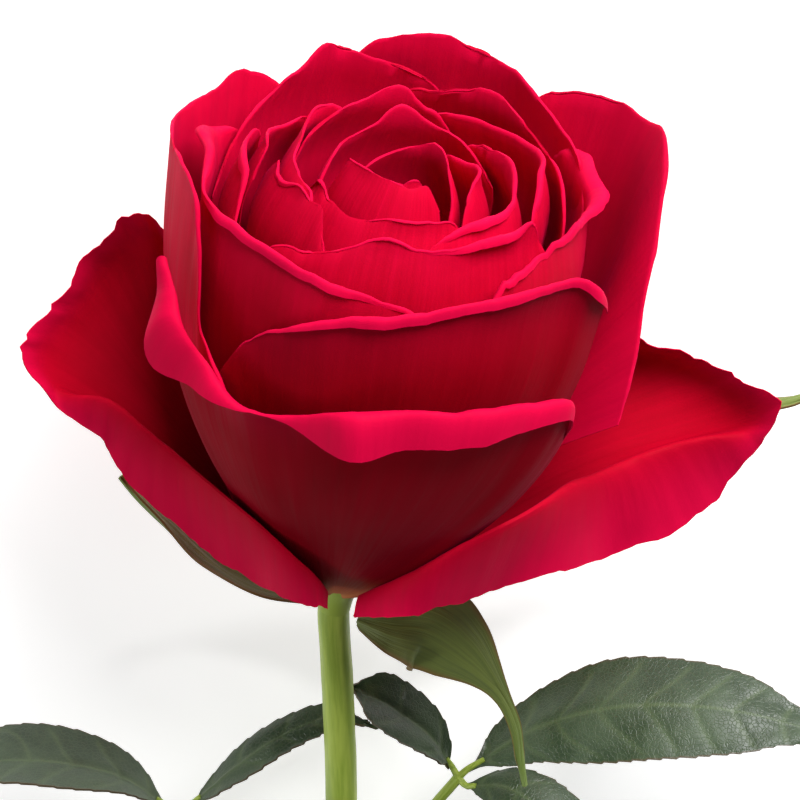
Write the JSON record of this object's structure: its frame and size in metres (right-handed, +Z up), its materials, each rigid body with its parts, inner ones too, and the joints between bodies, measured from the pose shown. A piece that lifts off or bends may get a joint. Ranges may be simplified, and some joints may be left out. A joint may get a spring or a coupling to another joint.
{
  "type": "cut rose",
  "caption": "Cut rose laid on its back: a half-open flower head of nested, rolled petals over a hip with sepals, on a prickly stem with compound leaves.",
  "frame": {"origin": "on the floor under the middle of the rose's box", "axes": "+Y from the stem's cut foot to the flower head, +Z up, +X to the right as seen from above with the head at the top"},
  "size_m": [0.1606, 0.303, 0.0755],
  "materials": {
    "petals": "velvety crimson with a pink sheen on the rolled lips",
    "sepals": "matte olive green, browner towards the tips",
    "leaves": "waxy grey-green with lighter veins",
    "leaf_stalks": "satin green",
    "stem": "satin yellow-green, darker on one side"
  },
  "bodies": {
    "root": {"heart_petal_1": "petals", "heart_petal_2": "petals", "heart_petal_3": "petals", "inner_petal_1": "petals", "inner_petal_2": "petals", "inner_petal_3": "petals", "inner_petal_4": "petals", "inner_petal_5": "petals", "inner_petal_6": "petals", "inner_petal_7": "petals", "middle_petal_1": "petals", "middle_petal_2": "petals", "middle_petal_3": "petals", "middle_petal_4": "petals", "middle_petal_5": "petals", "outer_petal_1": "petals", "outer_petal_2": "petals", "outer_petal_3": "petals", "outer_petal_4": "petals", "outer_petal_5": "petals", "outer_petal_6": "petals", "outer_petal_7": "petals", "outer_petal_8": "petals", "guard_petal_left": "petals", "guard_petal_right": "petals", "guard_petal_small": "petals", "guard_petal_back_left": "petals", "guard_petal_back_right": "petals", "sepal_front": "sepals", "sepal_right": "sepals", "sepal_left": "sepals", "sepal_back_left": "sepals", "sepal_back_right": "sepals", "hip": "stem", "stem": "stem", "leaf_a_stalk": "leaf_stalks", "leaf_a_leaflet_1": "leaves", "leaf_a_leaflet_2": "leaves", "leaf_a_leaflet_3": "leaves", "leaf_b_stalk": "leaf_stalks", "leaf_b_leaflet_1": "leaves", "leaf_b_leaflet_2": "leaves", "leaf_b_leaflet_3": "leaves", "leaf_c_stalk": "leaf_stalks", "leaf_c_leaflet_1": "leaves", "leaf_c_leaflet_2": "leaves", "leaf_c_leaflet_3": "leaves", "leaf_c_leaflet_4": "leaves", "leaf_c_leaflet_5": "leaves"}
  },
  "joints": []
}
